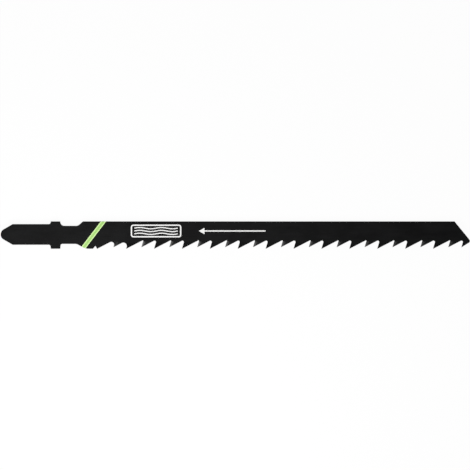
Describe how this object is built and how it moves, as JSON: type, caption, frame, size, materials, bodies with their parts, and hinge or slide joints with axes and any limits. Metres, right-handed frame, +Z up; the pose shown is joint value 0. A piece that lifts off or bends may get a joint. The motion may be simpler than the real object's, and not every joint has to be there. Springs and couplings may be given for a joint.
{
  "type": "jigsaw blade",
  "caption": "Long T-shank jigsaw blade: a flat strip of blackened steel with a tapered tail, side lugs, a narrow neck, raked and set teeth of alternating height, and a slanted point.",
  "frame": {"origin": "on the strip's lower face, at the foot of the lugs' front side, which is the shoulder that takes the pull of the cut, halfway between the back edge and the long tips", "axes": "+X along the blade from the shank to the front point, +Y across it towards the straight back edge with the teeth on -Y, +Z up through the thickness as the blade lies flat"},
  "size_m": [0.132, 0.0076, 0.0019],
  "materials": {
    "blackened_steel": "black oxide, satin, with fine lengthwise grinding lines",
    "ground_steel": "bare steel, ground, with fine grinding lines",
    "green_print": "thin printed ink",
    "white_print": "thin printed ink"
  },
  "bodies": {
    "root": {"blade": "blackened_steel"}
  },
  "joints": []
}
